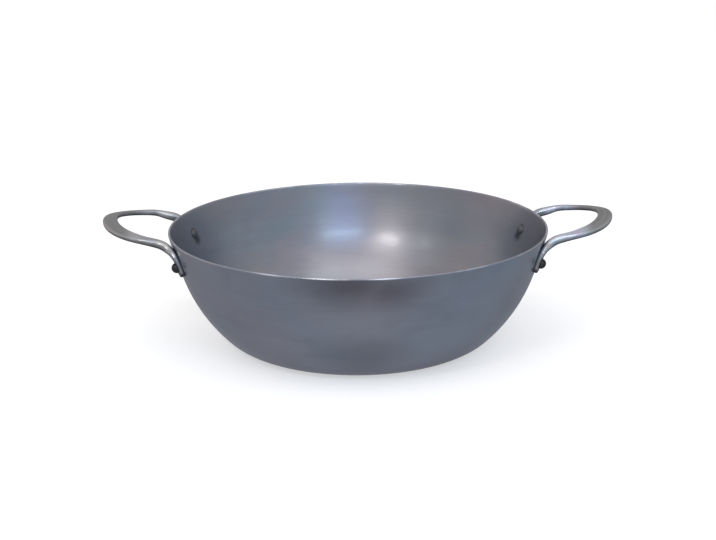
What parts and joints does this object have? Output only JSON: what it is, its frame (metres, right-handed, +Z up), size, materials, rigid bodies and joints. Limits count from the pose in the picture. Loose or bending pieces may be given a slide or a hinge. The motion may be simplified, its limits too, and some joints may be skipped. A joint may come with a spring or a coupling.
{
  "type": "kadai",
  "caption": "Round carbon-steel kadai for frying and simmering: pressed bowl with a flat base, bowed sides and riveted flat-bar loop handles.",
  "frame": {"origin": "centre of the flat underside of the bowl", "axes": "+Z up; +X towards the handle on the right of the picture; -Y towards the picture's camera"},
  "size_m": [0.3806, 0.2832, 0.0983],
  "materials": {
    "bowl_steel": "matte blue-grey heat-treated sheet, soft sheen, faint turned streaks",
    "handle_steel": "satin silver-grey pressed bar, glossier on the round legs",
    "rivet_steel": "dark, matte"
  },
  "bodies": {
    "root": {"bowl": "bowl_steel", "handle_left": "handle_steel", "handle_right": "handle_steel", "rivet_left_front": "rivet_steel", "rivet_left_rear": "rivet_steel", "rivet_right_front": "rivet_steel", "rivet_right_rear": "rivet_steel"}
  },
  "joints": []
}
